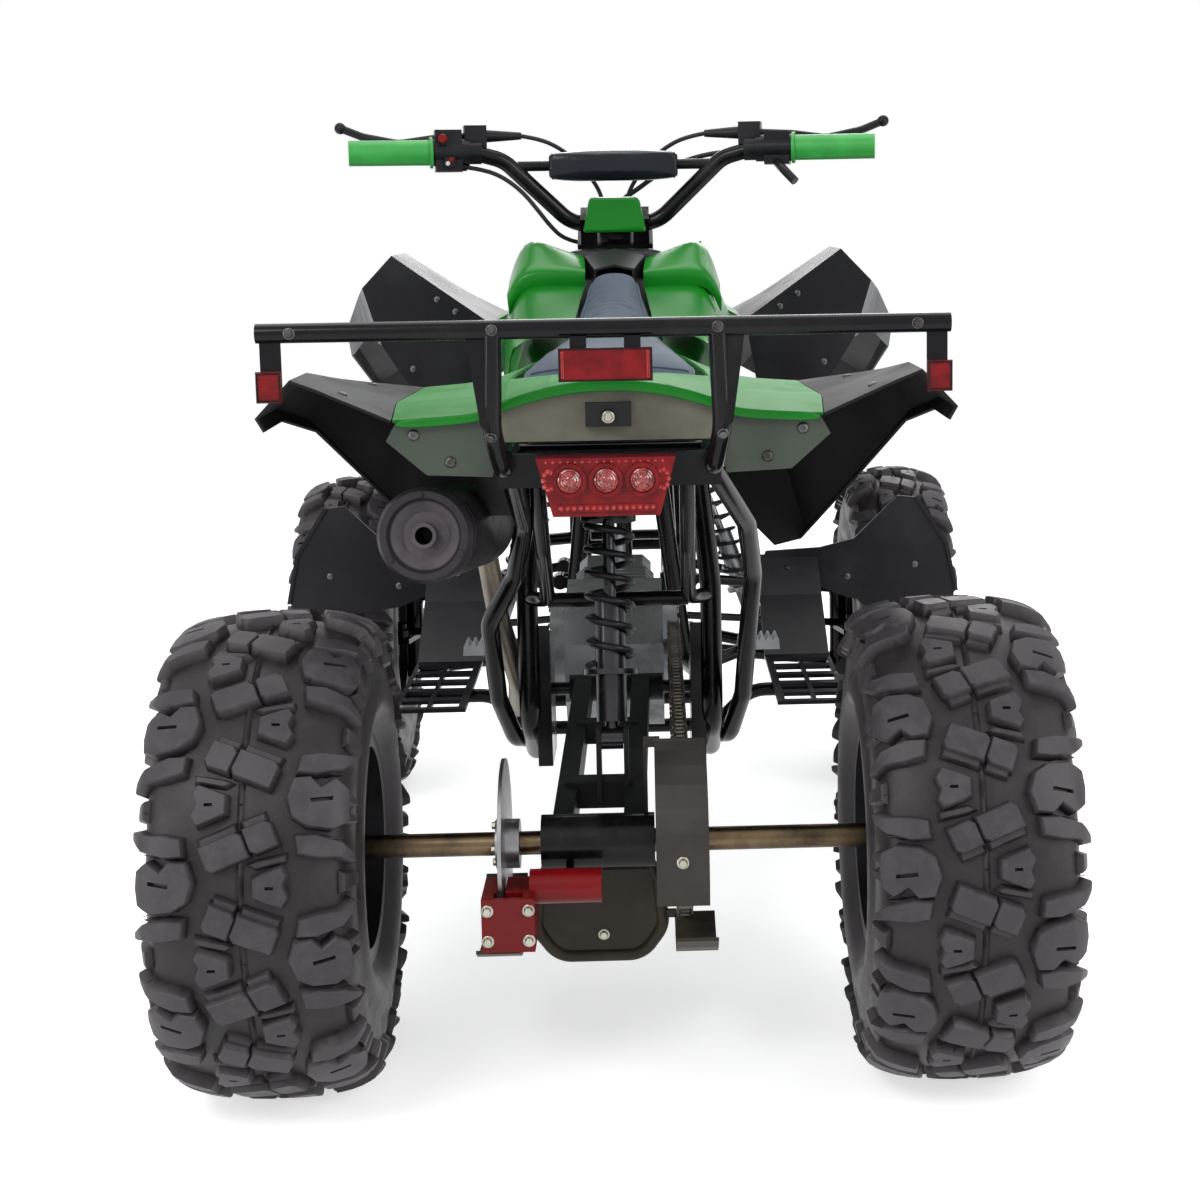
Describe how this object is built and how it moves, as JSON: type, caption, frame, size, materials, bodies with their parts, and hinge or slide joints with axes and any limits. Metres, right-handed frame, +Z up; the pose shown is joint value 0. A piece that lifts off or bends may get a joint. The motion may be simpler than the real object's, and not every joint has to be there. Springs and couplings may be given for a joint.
{
  "type": "sport quad bike",
  "caption": "Single-seat sport quad bike with lugged tyres, swinging rear axle driven by a chain, wishbone front arms, handlebar steering, moulded fenders and a rear rack bar.",
  "frame": {"origin": "on the ground, under the middle of the whole machine", "axes": "+X to the rider's right, +Y forward, +Z up"},
  "size_m": [1.038, 1.719, 1.047],
  "materials": {
    "tyre": "matte",
    "rim_metal": "satin",
    "axle_steel": "satin",
    "disc_steel": "satin",
    "chain_steel": "satin",
    "black_steel": "satin",
    "damper_metal": "satin",
    "spring_paint": "satin",
    "engine_metal": "satin",
    "exhaust_steel": "satin",
    "muffler_paint": "satin",
    "plate_grey": "matte",
    "seat_cover": "satin",
    "green_plastic": "gloss",
    "underside_plastic": "matte",
    "black_plastic": "satin",
    "pad_cover": "gloss",
    "grip_rubber": "matte",
    "red_lens": "gloss",
    "clear_lens": "gloss",
    "red_paint": "gloss",
    "cable_cover": "satin"
  },
  "bodies": {
    "chassis": {"axle_carrier": "black_steel", "caliper": "red_paint", "chain": "chain_steel", "chain_guard": "black_plastic", "engine": "engine_metal", "exhaust_pipe": "exhaust_steel", "foot_pegs": "damper_metal", "footwells": "black_plastic", "front_bumper": "black_steel", "front_dampers": "damper_metal", "front_fender_left": "black_plastic", "front_fender_right": "black_plastic", "front_springs": "spring_paint", "headlights": "clear_lens", "lower_arms": "black_steel", "main_frame": "black_steel", "muffler": "muffler_paint", "nose_cowl": "green_plastic", "rack": "black_steel", "rear_damper": "damper_metal", "rear_fascia": "underside_plastic", "rear_fender": "green_plastic", "rear_frame": "black_steel", "rear_liners": "black_plastic", "rear_reflector": "red_lens", "rear_spring": "spring_paint", "seat": "seat_cover", "side_panels": "green_plastic", "side_reflectors": "red_lens", "skid_guard": "plate_grey", "swingarm": "black_steel", "tail_light": "red_lens", "tank_cowl": "black_plastic", "upper_arms": "black_steel"},
    "steering": {"steering_stem": "black_steel", "handlebar": "black_steel", "grips": "grip_rubber", "controls": "black_plastic", "bar_pad": "pad_cover", "bar_cover": "green_plastic", "clutch_cable": "cable_cover", "brake_line": "cable_cover", "throttle_cable": "cable_cover", "switch_lead": "cable_cover"},
    "knuckle_left": {"knuckle_left": "black_steel"},
    "knuckle_right": {"knuckle_right": "black_steel"},
    "tie_rod_left": {"tie_rod_left": "black_steel"},
    "tie_rod_right": {"tie_rod_right": "black_steel"},
    "front_wheel_left": {"front_rim_left": "rim_metal", "front_tyre_left": "tyre"},
    "front_wheel_right": {"front_rim_right": "rim_metal", "front_tyre_right": "tyre"},
    "rear_axle": {"rear_shaft": "axle_steel", "rear_rim_left": "rim_metal", "rear_rim_right": "rim_metal", "rear_tyre_left": "tyre", "rear_tyre_right": "tyre", "brake_disc": "disc_steel", "sprocket": "disc_steel"}
  },
  "joints": [
    {"name": "steer", "type": "hinge", "parent": "chassis", "child": "steering", "pos_m": [0, 0.4945, 0.285], "axis": [0, -0.5, 0.866], "range_deg": [-33, 33]},
    {"name": "knuckle_left_turn", "type": "hinge", "parent": "chassis", "child": "knuckle_left", "pos_m": [-0.345, 0.5595, 0.254], "axis": [0, 0, 1], "range_deg": [-33, 33]},
    {"name": "tie_rod_left_turn", "type": "hinge", "parent": "steering", "child": "tie_rod_left", "pos_m": [-0.015, 0.42037, 0.3034], "axis": [0, -0.5, 0.866], "range_deg": [-33, 33]},
    {"name": "front_wheel_left_spin", "type": "hinge", "parent": "knuckle_left", "child": "front_wheel_left", "pos_m": [-0.433, 0.5595, 0.254], "axis": [1, 0, 0], "continuous": true},
    {"name": "knuckle_right_turn", "type": "hinge", "parent": "chassis", "child": "knuckle_right", "pos_m": [0.345, 0.5595, 0.254], "axis": [0, 0, 1], "range_deg": [-33, 33]},
    {"name": "tie_rod_right_turn", "type": "hinge", "parent": "steering", "child": "tie_rod_right", "pos_m": [0.015, 0.42037, 0.3034], "axis": [0, -0.5, 0.866], "range_deg": [-33, 33]},
    {"name": "front_wheel_right_spin", "type": "hinge", "parent": "knuckle_right", "child": "front_wheel_right", "pos_m": [0.433, 0.5595, 0.254], "axis": [1, 0, 0], "continuous": true},
    {"name": "rear_axle_spin", "type": "hinge", "parent": "chassis", "child": "rear_axle", "pos_m": [0, -0.6055, 0.254], "axis": [1, 0, 0], "continuous": true}
  ],
  "couplings": [
    {"joint": "knuckle_left_turn", "follows": "steer", "ratio": 1},
    {"joint": "tie_rod_left_turn", "follows": "steer", "ratio": -1},
    {"joint": "knuckle_right_turn", "follows": "steer", "ratio": 1},
    {"joint": "tie_rod_right_turn", "follows": "steer", "ratio": -1}
  ]
}
